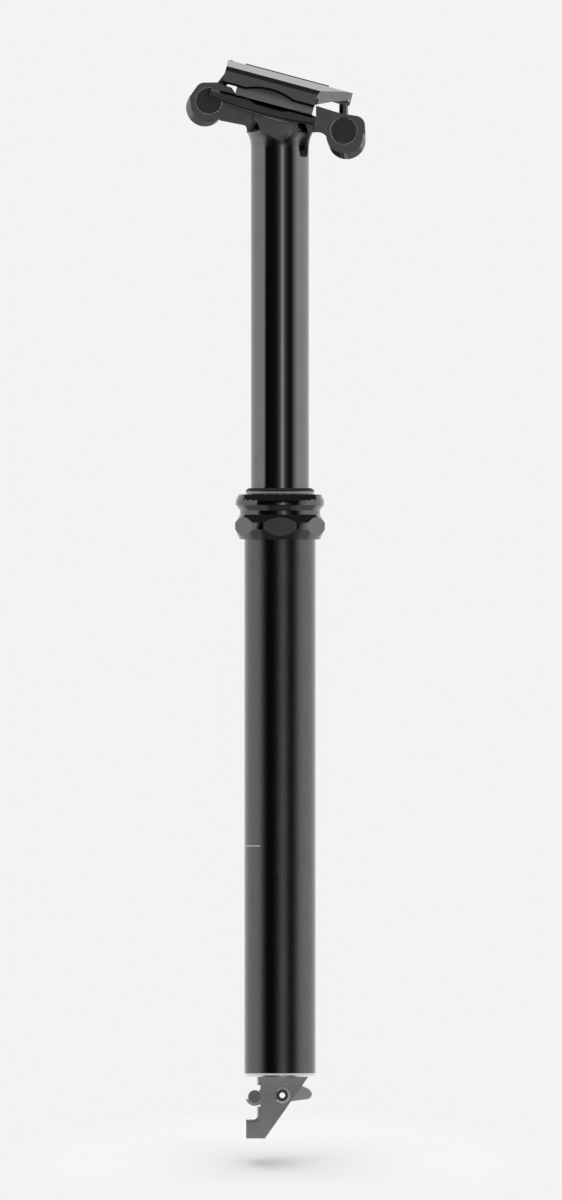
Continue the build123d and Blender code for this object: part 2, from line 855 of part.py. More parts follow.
def make_floating_piston():
    with BuildPart() as floating_piston:
        rim = chamber_radius - running_gap
        top = floater_z + floater_height
        cup = half_outline(
            (0, floater_z),
            (rim, floater_z),
            (rim, top),
            (rim - floater_wall, top),
            (rim - floater_wall, floater_z + floater_wall),
            (0, floater_z + floater_wall),
        )
        revolve(cup, Axis.Z)
        groove_z = floater_z + floater_height / 2
        groove = ring_outline(
            rim - floater_groove_depth, rim + overrun, groove_z, groove_z + floater_groove_height
        )
        revolve(groove, Axis.Z, mode=Mode.SUBTRACT)
    floating_piston.part.label = "floating_piston"
    export_step(floating_piston.part, "parts/floating_piston.step")


def make_floating_piston_ring():
    with BuildPart() as floating_piston_ring:
        rim = chamber_radius - running_gap
        low = floater_z + floater_height / 2 + press_gap
        high = low + floater_groove_height - 2 * press_gap
        revolve(ring_outline(rim - floater_groove_depth + press_gap, rim, low, high), Axis.Z)
    floating_piston_ring.part.label = "floating_piston_ring"
    export_step(floating_piston_ring.part, "parts/floating_piston_ring.step")


def make_saddle_cradle():
    mid_u = (cradle_rear_u + cradle_front_u) / 2
    relief_mid_u = (relief_rear_u + relief_front_u) / 2
    rib_mid_y = rib_inner_width + rib_thickness / 2
    with BuildPart() as saddle_cradle:
        # Wings that carry the rails, with a shallow curved belly
        with BuildSketch(clamp_side):
            with BuildLine():
                ThreePointArc(
                    (cradle_rear_u, cradle_end_v), (mid_u, cradle_belly_v), (cradle_front_u, cradle_end_v)
                )
                Polyline(
                    (cradle_front_u, cradle_end_v),
                    (cradle_front_u, cradle_lip_v),
                    (cradle_rear_u, cradle_lip_v),
                    (cradle_rear_u, cradle_end_v),
                )
            make_face()
        extrude(amount=clamp_half_width, both=True)
        lip_edges = saddle_cradle.edges().filter_by(
            lambda edge: abs(abs(edge.center().Y) - clamp_half_width) < press_gap
        )
        chamfer(lip_edges.filter_by(Axis(clamp_origin, clamp_forward)), cradle_lip_bevel)
        with BuildSketch(clamp_section):
            Rectangle(2 * rib_inner_width, 4 * rail_rise)
        extrude(amount=2 * seat_radius, both=True, mode=Mode.SUBTRACT)
        # Rocking block between the wings, with a rib inside each rail
        with BuildSketch(clamp_side):
            with Locations((rocker_u, rocker_v)):
                Circle(seat_radius - loose_gap)
            with Locations(((block_rear_u + block_front_u) / 2, rib_top_v - rail_rise / 2)):
                Rectangle(block_front_u - block_rear_u, rail_rise, mode=Mode.INTERSECT)
        extrude(amount=rail_half_spacing - rail_radius, both=True)
        with BuildSketch(clamp_section):
            with Locations((0, block_top_v + rail_rise / 2)):
                Rectangle(2 * rib_inner_width, rail_rise)
        extrude(amount=2 * seat_radius, both=True, mode=Mode.SUBTRACT)
        rib_mid_v = (cradle_lip_v + rib_top_v) / 2
        with BuildSketch(clamp_section.offset(rib_rear_u)):
            with Locations((-rib_mid_y, rib_mid_v), (rib_mid_y, rib_mid_v)):
                Rectangle(rib_thickness, rib_top_v - cradle_lip_v)
        extrude(amount=rib_front_u - rib_rear_u)
        # Rail grooves
        with BuildSketch(clamp_section):
            with Locations((-rail_half_spacing, 0), (rail_half_spacing, 0)):
                Circle(rail_radius)
        extrude(amount=2 * seat_radius, both=True, mode=Mode.SUBTRACT)
        # Dipped lips on the outer sides
        with BuildSketch(clamp_side, mode=Mode.PRIVATE) as relief:
            with BuildLine():
                ThreePointArc(
                    (relief_rear_u, cradle_lip_v),
                    (relief_mid_u, relief_depth_v),
                    (relief_front_u, cradle_lip_v),
                )
                Polyline(
                    (relief_front_u, cradle_lip_v),
                    (relief_front_u, rib_top_v + overrun),
                    (relief_rear_u, rib_top_v + overrun),
                    (relief_rear_u, cradle_lip_v),
                )
            make_face()
        for side in (-1, 1):
            cutter = extrude(
                relief.sketch.moved(Location((0, side * rail_half_spacing, 0))),
                amount=rail_half_spacing,
                dir=(0, side, 0),
                mode=Mode.PRIVATE,
            )
            add(cutter, mode=Mode.SUBTRACT)
    saddle_cradle.part.label = "saddle_cradle"
    export_step(saddle_cradle.part, "parts/saddle_cradle.step")


def clamp_top_section():
    """The cross-section of the clamp's top: sloped roof, skirts and a raised middle underneath."""
    rib_width = rail_half_spacing - rail_radius + loose_gap
    half = [
        (ridge_half_width, ridge_v),
        (clamp_half_width - brow_inset, brow_v),
        (clamp_half_width, skirt_top_v),
        (clamp_half_width, skirt_foot_v),
        (rib_width, skirt_foot_v),
        (rib_width, rib_clear_v),
        (top_underside_half_width, rib_clear_v),
        (top_underside_half_width, top_underside_v),
    ]
    mirrored = [(-y, v) for y, v in reversed(half)]
    with BuildSketch(clamp_section) as section:
        with BuildLine():
            Polyline(*half, *mirrored, close=True)
        make_face()
    return section.sketch


def make_saddle_clamp_top():
    trunnions = ((rear_nut, rear_trunnion), (front_nut, front_trunnion))
    with BuildPart() as saddle_clamp_top:
        with BuildSketch(clamp_plan.offset(skirt_foot_v)):
            with BuildLine():
                Polyline(
                    (top_rear_u, -clamp_half_width),
                    (top_shoulder_u, -clamp_half_width),
                    (top_tip_u, -top_tip_half_width),
                    (top_tip_u, top_tip_half_width),
                    (top_shoulder_u, clamp_half_width),
                    (top_rear_u, clamp_half_width),
                    close=True,
                )
            make_face()
        extrude(amount=ridge_v - skirt_foot_v)
        extrude(clamp_top_section(), amount=2 * seat_radius, both=True, mode=Mode.INTERSECT)
        with BuildSketch(clamp_plan.offset(ridge_v)):
            Rectangle(2 * pad_half_length, 2 * pad_half_width)
        extrude(amount=pad_rise)
        # Rising underside of the front facets, and the arches in the skirts
        with BuildSketch(clamp_side, mode=Mode.PRIVATE) as trims:
            with BuildLine():
                Polyline(
                    (top_shoulder_u, skirt_foot_v - overrun),
                    (top_shoulder_u, facet_foot_v),
                    (facet_mid_u, facet_mid_v),
                    (top_tip_u, facet_tip_v),
                    (top_tip_u + overrun, facet_tip_v),
                    (top_tip_u + overrun, skirt_foot_v - overrun),
                    close=True,
                )
            make_face()
            with BuildLine():
                ThreePointArc(
                    (arch_rear_u, skirt_foot_v),
                    ((arch_rear_u + arch_front_u) / 2, arch_rise_v),
                    (arch_front_u, skirt_foot_v),
                )
                Polyline(
                    (arch_front_u, skirt_foot_v),
                    (arch_front_u, skirt_foot_v - overrun),
                    (arch_rear_u, skirt_foot_v - overrun),
                    (arch_rear_u, skirt_foot_v),
                )
            make_face()
        for side in (-1, 1):
            cutter = extrude(
                trims.sketch.moved(Location((0, side * bolt_boss_radius, 0))),
                amount=2 * clamp_half_width,
                dir=(0, side, 0),
                mode=Mode.PRIVATE,
            )
            add(cutter, mode=Mode.SUBTRACT)
        # Rail grooves
        with BuildSketch(clamp_section):
            with Locations((-rail_half_spacing, 0), (rail_half_spacing, 0)):
                Circle(rail_radius)
        extrude(amount=2 * seat_radius, both=True, mode=Mode.SUBTRACT)
        # Bolt bosses, washer troughs and bolt holes
        for nut, trunnion in trunnions:
            centre = clamp_side.to_local_coords(trunnion)
            with BuildSketch(clamp_plan.offset(bolt_boss_v)):
                with Locations((centre.X, 0)):
                    Circle(bolt_boss_radius)
            extrude(amount=ridge_v - bolt_boss_v)
        for nut, trunnion in trunnions:
            centre = clamp_side.to_local_coords(trunnion)
            trough = washer_radius + washer_gap
            with BuildSketch(clamp_side):
                with Locations((centre.X, centre.Y)):
                    Circle(trough)
                with Locations((centre.X, centre.Y + trough)):
                    Rectangle(2 * trough, 2 * trough)
            extrude(amount=washer_half_length + loose_gap, both=True, mode=Mode.SUBTRACT)
            with BuildSketch(bolt_plane(nut, trunnion)):
                Circle(bolt_hole_radius)
            extrude(amount=(trunnion - nut).length, mode=Mode.SUBTRACT)
    saddle_clamp_top.part.label = "saddle_clamp_top"
    export_step(saddle_clamp_top.part, "parts/saddle_clamp_top.step")


def make_barrel_nut(node, nut, trunnion):
    with BuildPart() as barrel_nut:
        with BuildSketch(Plane.XZ):
            with Locations(side_pair(nut)):
                Circle(nut_radius)
        extrude(amount=nut_half_length, both=True)
        chamfer(barrel_nut.edges().filter_by(GeomType.CIRCLE), nut_bevel)
        with BuildSketch(bolt_plane(nut, trunnion)):
            Circle(bolt_radius + running_gap)
        extrude(amount=nut_radius + overrun, both=True, mode=Mode.SUBTRACT)
    barrel_nut.part.label = node
    export_step(barrel_nut.part, f"parts/{node}.step")


def make_clamp_bolt(node, nut, trunnion):
    with BuildPart() as clamp_bolt:
        seat = bolt_plane(nut, trunnion)
        reach = (trunnion - nut).length - washer_flat
        with BuildSketch(seat.offset(-bolt_tail)):
            Circle(bolt_radius)
        extrude(amount=reach + bolt_tail)
        with BuildSketch(seat.offset(reach)):
            Circle(bolt_head_radius)
        extrude(amount=bolt_head_height)
        with BuildSketch(seat.offset(reach + bolt_head_height)):
            RegularPolygon(bolt_socket_radius, collar_flat_count)
        extrude(amount=-bolt_socket_depth, mode=Mode.SUBTRACT)
    clamp_bolt.part.label = node
    export_step(clamp_bolt.part, f"parts/{node}.step")


def make_clamp_washer(node, nut, trunnion):
    with BuildPart() as clamp_washer:
        along = (trunnion - nut).normalized()
        across = Plane(origin=trunnion, x_dir=along, z_dir=(0, -1, 0))
        with BuildSketch(across):
            Circle(washer_radius)
            with Locations((-washer_flat - washer_radius, 0)):
                Rectangle(2 * washer_radius, 2 * washer_radius, mode=Mode.INTERSECT)
        extrude(amount=washer_half_length, both=True)
        with BuildSketch(bolt_plane(nut, trunnion)):
            Circle(bolt_radius + running_gap)
        extrude(amount=(trunnion - nut).length, mode=Mode.SUBTRACT)
    clamp_washer.part.label = node
    export_step(clamp_washer.part, f"parts/{node}.step")


def make_actuator_bracket():
    top_z = tube_foot_z - cap_flange
    roof_z = top_z - bracket_roof
    foot_top_z = tube_foot_z - foot_top_drop
    foot_z = tube_foot_z - foot_bottom_drop
    inner_corner = (bracket_rear_x, foot_top_z)
    cheek_x = bracket_rear_x + bracket_rear_wall
    with BuildPart() as actuator_bracket:
        with BuildSketch(Plane.XZ) as outline:
            with BuildLine():
                Polyline(
                    (bracket_rear_x, top_z),
                    (bracket_front_x, top_z),
                    (foot_front_x, foot_z),
                    (foot_rear_x, foot_z),
                    (foot_rear_x, foot_top_z),
                    inner_corner,
                    close=True,
                )
            make_face()
            corner = outline.vertices().sort_by_distance((*inner_corner, 0))[0]
            fillet(corner, bracket_notch_fillet)
        extrude(amount=bracket_half_width, both=True)
        # Rounded rear edges of the cheeks
        rear_edges = actuator_bracket.edges().filter_by(Axis.Z).filter_by(
            lambda edge: abs(edge.center().X - bracket_rear_x) < press_gap
        )
        fillet(rear_edges, bracket_rear_wall - press_gap)
        # Slot for the lever, and the window for its hook
        with BuildSketch(Plane.XZ):
            with BuildLine():
                Polyline(
                    (bracket_rear_x - overrun, foot_top_z),
                    (bracket_front_x + overrun, foot_top_z),
                    (bracket_front_x + overrun, roof_z),
                    (cheek_x, roof_z),
                    (cheek_x, tube_foot_z - window_top_drop),
                    (bracket_rear_x - overrun, tube_foot_z - window_top_drop),
                    close=True,
                )
            make_face()
        extrude(amount=bracket_slot_half_width, both=True, mode=Mode.SUBTRACT)
        with BuildSketch(Plane.XZ):
            with BuildLine():
                Polyline(
                    (bracket_rear_x - overrun, tube_foot_z - window_top_drop),
                    (cheek_x, tube_foot_z - window_top_drop),
                    (cheek_x, tube_foot_z - window_bottom_drop),
                    (bracket_rear_x - overrun, tube_foot_z - window_bottom_drop),
                    close=True,
                )
            make_face()
        extrude(amount=bracket_half_width + overrun, both=True, mode=Mode.SUBTRACT)
        # Threaded boss, rod hole, pin holes and the housing stop
        revolve(ring_outline(0, bracket_boss_radius, roof_z, top_z + bracket_boss_height), Axis.Z)
        rod_hole = ring_outline(0, rod_hole_radius, roof_z - overrun, top_z + 2 * bracket_boss_height)
        revolve(rod_hole, Axis.Z, mode=Mode.SUBTRACT)
        with BuildSketch(Plane.XZ):
            with Locations((pivot_x, pivot_z)):
                Circle(pin_radius + press_gap)
        extrude(amount=bracket_half_width + overrun, both=True, mode=Mode.SUBTRACT)
        with BuildSketch(Plane.XY.offset(foot_z)):
            with Locations((barrel_x, 0)):
                Circle(housing_radius)
        extrude(amount=housing_depth, mode=Mode.SUBTRACT)
        with BuildSketch(Plane.XY.offset(foot_z)):
            with Locations((barrel_x, 0)):
                Circle(cable_radius)
        extrude(amount=foot_bottom_drop - foot_top_drop + overrun, mode=Mode.SUBTRACT)
    actuator_bracket.part.label = "actuator_bracket"
    export_step(actuator_bracket.part, "parts/actuator_bracket.step")


def make_lever_pin():
    front_y = -bracket_half_width - pin_overhang
    back_y = bracket_half_width
    clip_y = -bracket_half_width - press_gap
    with BuildPart() as lever_pin:
        with BuildSketch(Plane(origin=(pivot_x, back_y, pivot_z), x_dir=(1, 0, 0), z_dir=(0, -1, 0))):
            Circle(pin_radius)
        extrude(amount=back_y - front_y)
        with BuildSketch(Plane(origin=(pivot_x, back_y, pivot_z), x_dir=(1, 0, 0), z_dir=(0, 1, 0))):
            Circle(pin_head_radius)
        extrude(amount=pin_head_height)
        with BuildSketch(Plane(origin=(pivot_x, clip_y, pivot_z), x_dir=(1, 0, 0), z_dir=(0, -1, 0))):
            Circle(pin_radius + overrun)
            Circle(pin_radius - clip_groove_depth, mode=Mode.SUBTRACT)
        extrude(amount=clip_thickness + press_gap, mode=Mode.SUBTRACT)
        with BuildSketch(Plane.XZ):
            with Locations((pivot_x, pivot_z)):
                Circle(pin_bore_radius)
        extrude(amount=bracket_half_width + overrun, both=True, mode=Mode.SUBTRACT)
    lever_pin.part.label = "lever_pin"
    export_step(lever_pin.part, "parts/lever_pin.step")


def make_e_clip():
    clip_y = -bracket_half_width - 2 * press_gap
    groove = pin_radius - clip_groove_depth + press_gap
    mouth = radians(clip_mouth_half_angle)
    reach = 2 * clip_outer_radius
    with BuildPart() as e_clip:
        with BuildSketch(Plane(origin=(pivot_x, clip_y, pivot_z), x_dir=(1, 0, 0), z_dir=(0, -1, 0))):
            Circle(clip_outer_radius)
            Circle(pin_radius + press_gap, mode=Mode.SUBTRACT)
            with PolarLocations((pin_radius + groove) / 2, 3):
                Rectangle(pin_radius - groove + clip_finger_width / 2, clip_finger_width)
            Circle(groove, mode=Mode.SUBTRACT)
            with BuildLine():
                Polyline(
                    (0, 0),
                    (-reach * cos(mouth), reach * sin(mouth)),
                    (-reach * cos(mouth), -reach * sin(mouth)),
                    close=True,
                )
            make_face(mode=Mode.SUBTRACT)
        extrude(amount=clip_thickness - press_gap)
    e_clip.part.label = "e_clip"
    export_step(e_clip.part, "parts/e_clip.step")


def cam_points():
    """The lever's cam, which lifts the rod's round tip at a steady rate as the lever turns."""
    reach = rod_radius + running_gap
    points = []
    first = -radians(cam_lead_in)
    step = radians(lever_pull + 2 * cam_lead_in) / (cam_step_count - 1)
    for index in range(cam_step_count):
        turn = first + index * step
        x = -pivot_x
        z = rod_tip_height + cam_rate * turn
        tip = Vector(x * cos(turn) + z * sin(turn), -x * sin(turn) + z * cos(turn))
        slope = Vector(
            -x * sin(turn) + z * cos(turn) + cam_rate * sin(turn),
            -x * cos(turn) - z * sin(turn) + cam_rate * cos(turn),
        ).normalized()
        points.append((pivot_x + tip.X + slope.Y * reach, pivot_z + tip.Y - slope.X * reach))
    return points


def make_actuator_lever():
    cam = cam_points()
    hook_radius = barrel_radius + running_gap
    nose_z = tube_foot_z - nose_drop
    with BuildPart() as actuator_lever:
        with BuildSketch(Plane.XZ):
            # Hub, cam and nose
            with BuildLine():
                Spline(*cam)
                Polyline(
                    cam[-1],
                    (nose_top_x, tube_foot_z - nose_top_drop),
                    (nose_x + nose_radius / 2, nose_z + nose_radius),
                    (nose_x + nose_radius / 2, nose_z - nose_radius),
                    (nose_foot_x, tube_foot_z - nose_foot_drop),
                    (pivot_x, pivot_z - lever_hub_radius),
                    (barrel_x, barrel_z - hook_radius - hook_wall / 2),
                    (barrel_x, barrel_z),
                    (pivot_x - lever_hub_radius, pivot_z + lever_hub_radius / 2),
                    cam[0],
                )
            make_face()
            with Locations((pivot_x, pivot_z)):
                Circle(lever_hub_radius)
            with Locations((nose_x, nose_z)):
                Circle(nose_radius)
            # Hook around the cable barrel
            with Locations((barrel_x, barrel_z)):
                Circle(hook_radius + hook_wall)
                Circle(hook_radius, mode=Mode.SUBTRACT)
            with BuildLine():
                mouth = 3 * hook_radius
                Polyline(
                    (barrel_x, barrel_z),
                    (
                        barrel_x + mouth * cos(radians(hook_mouth_angle)),
                        barrel_z + mouth * sin(radians(hook_mouth_angle)),
                    ),
                    (barrel_x - mouth, barrel_z + mouth),
                    (
                        barrel_x + mouth * cos(radians(hook_tip_angle)),
                        barrel_z + mouth * sin(radians(hook_tip_angle)),
                    ),
                    close=True,
                )
            make_face(mode=Mode.SUBTRACT)
            with Locations((pivot_x, pivot_z)):
                Circle(pin_radius + running_gap, mode=Mode.SUBTRACT)
        extrude(amount=lever_half_width, both=True)
    actuator_lever.part.label = "actuator_lever"
    export_step(actuator_lever.part, "parts/actuator_lever.step")


def make_cable_barrel():
    with BuildPart() as cable_barrel:
        with BuildSketch(Plane.XZ):
            with Locations((barrel_x, barrel_z)):
                Circle(barrel_radius)
        extrude(amount=lever_half_width, both=True)
        with BuildSketch(Plane.XY.offset(barrel_z)):
            with Locations((barrel_x, 0)):
                Circle(cable_radius)
        extrude(amount=2 * barrel_radius, both=True, mode=Mode.SUBTRACT)
        mouth = Plane(origin=(barrel_x, 0, barrel_z), x_dir=(0, 1, 0), z_dir=(-1, 0, 0))
        with BuildSketch(mouth):
            Circle(set_screw_radius)
        extrude(amount=2 * barrel_radius, mode=Mode.SUBTRACT)
    cable_barrel.part.label = "cable_barrel"
    export_step(cable_barrel.part, "parts/cable_barrel.step")


def make_barrel_screw():
    outer_x = barrel_x - barrel_radius + set_screw_sink
    face = Plane(origin=(outer_x, 0, barrel_z), x_dir=(0, 1, 0), z_dir=(-1, 0, 0))
    with BuildPart() as barrel_screw:
        with BuildSketch(face):
            Circle(set_screw_radius - press_gap)
        extrude(amount=-set_screw_length)
        with BuildSketch(face):
            RegularPolygon(set_screw_radius / 2, collar_flat_count)
        extrude(amount=-set_screw_length / 2, mode=Mode.SUBTRACT)
    barrel_screw.part.label = "barrel_screw"
    export_step(barrel_screw.part, "parts/barrel_screw.step")


os.makedirs("parts", exist_ok=True)

make_lower_tube()
make_collar()
make_collar_o_ring()
make_wiper_seal()
make_upper_bushing()
make_foot_cap()
make_foot_cap_o_ring()
make_damper_shaft()
make_bottom_out_bumper()
make_piston_head()
make_piston_ring()
make_valve_lid()
make_valve_spring()
make_push_rod()
make_valve_poppet()
make_upper_post()
make_lower_bushing()
make_guide_keys()
make_top_out_bumper()
make_seal_head()
make_shaft_seal()
make_gas_fill_screw()
make_floating_piston()
make_floating_piston_ring()
make_saddle_cradle()
make_saddle_clamp_top()
for end, nut_centre, trunnion_centre in (
    ("front", front_nut, front_trunnion),
    ("rear", rear_nut, rear_trunnion),
):
    make_barrel_nut(f"{end}_barrel_nut", nut_centre, trunnion_centre)
    make_clamp_bolt(f"{end}_bolt", nut_centre, trunnion_centre)
    make_clamp_washer(f"{end}_washer", nut_centre, trunnion_centre)
make_actuator_bracket()
make_lever_pin()
make_e_clip()
make_actuator_lever()
make_cable_barrel()
make_barrel_screw()
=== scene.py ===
"""Dresses a dropper seatpost: finishes, edge rounding, studio and camera.

Lengths are in metres and angles in radians, unless a name or a comment says otherwise.
"""

import logging
import math
from dataclasses import dataclass, field
from enum import Enum
from typing import Any, Callable

import bmesh
import bpy
from mathutils import Matrix, Vector


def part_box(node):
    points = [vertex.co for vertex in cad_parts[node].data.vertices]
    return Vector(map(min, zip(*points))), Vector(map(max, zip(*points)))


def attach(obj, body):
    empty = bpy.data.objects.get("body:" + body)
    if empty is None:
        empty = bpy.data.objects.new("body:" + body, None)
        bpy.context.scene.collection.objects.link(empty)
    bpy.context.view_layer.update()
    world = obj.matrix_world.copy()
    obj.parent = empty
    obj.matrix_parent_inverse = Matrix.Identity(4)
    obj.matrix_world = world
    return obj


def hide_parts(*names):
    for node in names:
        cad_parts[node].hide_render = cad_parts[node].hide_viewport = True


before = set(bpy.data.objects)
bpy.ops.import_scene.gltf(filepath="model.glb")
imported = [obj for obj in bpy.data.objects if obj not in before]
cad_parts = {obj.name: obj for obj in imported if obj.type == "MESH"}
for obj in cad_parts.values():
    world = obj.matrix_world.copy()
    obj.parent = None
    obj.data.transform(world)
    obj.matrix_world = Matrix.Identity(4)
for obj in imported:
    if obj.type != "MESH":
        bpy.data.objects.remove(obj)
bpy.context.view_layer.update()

log = logging.getLogger("seatpost")

Colour = tuple[float, float, float]
Span = tuple[float, float]

MILLIMETRE = 0.001

# Merging of the CAD's loose triangles into faces.
MERGE_DISTANCE = 0.000002
FACET_ANGLE = math.radians(0.6)

# Shading: the angle past which an edge stays sharp, and how compact a broad flat is, as its area
# over its squared perimeter.
SMOOTH_ANGLE = math.radians(24.0)
LEAST_COMPACT = 0.009
ROUNDING_SEGMENTS = 3

# Reshaping: how near a point is to a surface that it counts as on, and the normals' shares that
# make a face a side or an underside.
SURFACE_SLACK = 0.00002
SIDEWAYS = 0.99
DOWNWARD = -0.5
FOOT_SEGMENTS = 4

# Noise layers of the grain and the blotches, and the part of the noise that carries the colour.
GRAIN_LAYERS = 2.0
BLOTCH_LAYERS = 3.0
NOISE_SPAN = (0.2, 0.8)


class End(Enum):
    """An end of the clamp, with its own bolt, washer and barrel nut."""

    FRONT = "front"
    REAR = "rear"


class Socket:
    """A node socket with arithmetic, so that shader maths reads as an expression."""

    def __init__(self, graph: "Graph", socket: bpy.types.NodeSocket) -> None:
        """Keeps the graph and the socket it speaks for."""
        self.graph = graph
        self.socket = socket

    def _maths(self, operation: str, first: Any, second: Any) -> "Socket":
        """Adds one Math node."""
        return self.graph.add("ShaderNodeMath", {"operation": operation}, {0: first, 1: second})

    def __add__(self, other: Any) -> "Socket":
        """Sum."""
        return self._maths("ADD", self, other)

    def __radd__(self, other: Any) -> "Socket":
        """Sum with a number on the left."""
        return self._maths("ADD", other, self)

    def __sub__(self, other: Any) -> "Socket":
        """Difference."""
        return self._maths("SUBTRACT", self, other)

    def __rsub__(self, other: Any) -> "Socket":
        """Difference from a number on the left."""
        return self._maths("SUBTRACT", other, self)

    def __mul__(self, other: Any) -> "Socket":
        """Product."""
        return self._maths("MULTIPLY", self, other)

    def __rmul__(self, other: Any) -> "Socket":
        """Product with a number on the left."""
        return self._maths("MULTIPLY", other, self)

    def __lt__(self, other: Any) -> "Socket":
        """One where this is the smaller."""
        return self._maths("LESS_THAN", self, other)

    def __gt__(self, other: Any) -> "Socket":
        """One where this is the larger."""
        return self._maths("GREATER_THAN", self, other)

    def angle_from(self, run: Any) -> "Socket":
        """Angle of the point whose rise is this value and whose run is the other."""
        return self._maths("ARCTAN2", self, run)

    def size(self) -> "Socket":
        """Value without its sign."""
        return self._maths("ABSOLUTE", self, 0.0)

    def fading(self, reach: float) -> "Socket":
        """Falls from one by a factor of e over each reach."""
        return self._maths("EXPONENT", self * (-1.0 / reach), 0.0)

    def ramp(self, low: float, high: float, start: float = 0.0, end: float = 1.0) -> "Socket":
        """Smooth change from one value to another.

        Args:
            low: input at which the change starts.
            high: input at which the change ends.
            start: output before the change.
            end: output after the change.

        Returns:
            The ramped value.
        """
        return self.graph.add(
            "ShaderNodeMapRange",
            {"interpolation_type": "SMOOTHSTEP"},
            {0: self, 1: low, 2: high, 3: start, 4: end},
        )


class Graph:
    """A node tree that is filled by expressions."""

    def __init__(self, tree: bpy.types.NodeTree) -> None:
        """Empties the tree."""
        self.tree = tree
        tree.nodes.clear()

    def make(self, kind: str, settings: dict[str, Any], inputs: dict[Any, Any]) -> bpy.types.Node:
        """Adds a node.

        Args:
            kind: the node's type.
            settings: the node's own options.
            inputs: values or links for its sockets, by name or place.

        Returns:
            The node.
        """
        node = self.tree.nodes.new(kind)
        for name, value in settings.items():
            setattr(node, name, value)
        for name, value in inputs.items():
            if isinstance(value, Socket):
                self.tree.links.new(value.socket, node.inputs[name])
            else:
                node.inputs[name].default_value = value
        return node

    def add(
        self, kind: str, settings: dict[str, Any], inputs: dict[Any, Any], output: Any = 0
    ) -> Socket:
        """Adds a node and gives one of its outputs.

        Args:
            kind: the node's type.
            settings: the node's own options.
            inputs: values or links for its sockets.
            output: name or place of the output.

        Returns:
            The output, ready for maths.
        """
        return Socket(self, self.make(kind, settings, inputs).outputs[output])

    def place(self) -> Socket:
        """Object coordinates."""
        return self.add("ShaderNodeTexCoord", {}, {}, "Object")

    def axes(self, vector: Socket) -> tuple[Socket, ...]:
        """The three parts of a vector."""
        node = self.make("ShaderNodeSeparateXYZ", {}, {0: vector})
        return tuple(Socket(self, node.outputs[name]) for name in ("X", "Y", "Z"))

    def noise(self, size: float, layers: float) -> Socket:
        """Cloudy noise whose blotches are about one size across.

        Args:
            size: blotch size.
            layers: number of finer layers.

        Returns:
            Values around one half.
        """
        inputs = {"Vector": self.place(), "Scale": 1.0 / size, "Detail": layers}
        return self.add("ShaderNodeTexNoise", {}, inputs, "Fac")

    def blend(self, share: Socket, first: Any, second: Any) -> Socket:
        """Blend of two colours.

        Args:
            share: zero for the first colour and one for the second.
            first: a colour with its alpha, or a colour socket.
            second: the same for the other colour.

        Returns:
            The blended colour.
        """
        inputs = {0: share, 6: first, 7: second}
        return self.add("ShaderNodeMix", {"data_type": "RGBA"}, inputs, 2)


@dataclass(frozen=True)
class Patch:
    """A plain finish that covers part of a piece."""

    colour: Colour
    rough: float
    metallic: float


@dataclass(frozen=True)
class Look:
    """Colour, roughness and metallic share of a surface, as sockets or constants."""

    colour: Any
    rough: Any
    metallic: Any

    def patched(self, graph: Graph, mask: Socket, patch: Patch) -> "Look":
        """Lays another finish over this one where a mask is one.

        Args:
            graph: the material's node graph.
            mask: zero for this look and one for the patch.
            patch: the other finish.

        Returns:
            The combined look.
        """
        return Look(
            graph.blend(mask, self.colour, (*patch.colour, 1.0)),
            self.rough * (1 - mask) + patch.rough * mask,
            self.metallic * (1 - mask) + patch.metallic * mask,
        )


Detail = Callable[[Graph, Look], Look]


@dataclass(frozen=True)
class Finish:
    """A surface finish: colour, sheen and grain.

    The grain is fine noise in colour and height; the blotch is slower noise in colour and
    roughness.
    """

    name: str
    colour: Colour
    roughness: float
    metallic: float = 1.0
    grain_size: float = 0.0002
    grain: float = 0.08
    grain_height: float = 0.0
    blotch_size: float = 0.012
    blotch: float = 0.05

    def base(self, graph: Graph) -> Look:
        """Colour and roughness with their variation.

        Args:
            graph: the material's node graph.

        Returns:
            The finish's look before any detail.
        """
        fine = graph.noise(self.grain_size, GRAIN_LAYERS)
        slow = graph.noise(self.blotch_size, BLOTCH_LAYERS)
        low = tuple(part * (1 - self.grain - self.blotch) for part in self.colour)
        high = tuple(part * (1 + self.grain + self.blotch) for part in self.colour)
        share = self.blotch / (self.grain + self.blotch)
        cloud = (fine * (1 - share) + slow * share).ramp(*NOISE_SPAN)
        colour = graph.blend(cloud, (*low, 1.0), (*high, 1.0))
        rough = self.roughness * (1 - self.blotch) + slow * (2 * self.blotch * self.roughness)
        return Look(colour, rough, self.metallic)

    def material(self, detail: Detail | None = None) -> bpy.types.Material:
        """Makes the material.

        Args:
            detail: changes the look, for a mark or a differently finished stretch.

        Returns:
            The Blender material.
        """
        made = bpy.data.materials.new(self.name)
        made.use_nodes = True
        graph = Graph(made.node_tree)
        look = self.base(graph)
        if detail is not None:
            look = detail(graph, look)
        inputs = {
            "Base Color": look.colour,
            "Roughness": look.rough,
            "Metallic": look.metallic,
        }
        if self.grain_height:
            fine = graph.noise(self.grain_size, GRAIN_LAYERS)
            bump = {"Height": fine, "Strength": 1.0, "Distance": self.grain_height}
            inputs["Normal"] = graph.add("ShaderNodeBump", {}, bump)
        shader = graph.add("ShaderNodeBsdfPrincipled", {}, inputs)
        graph.make("ShaderNodeOutputMaterial", {}, {"Surface": shader})
        return made


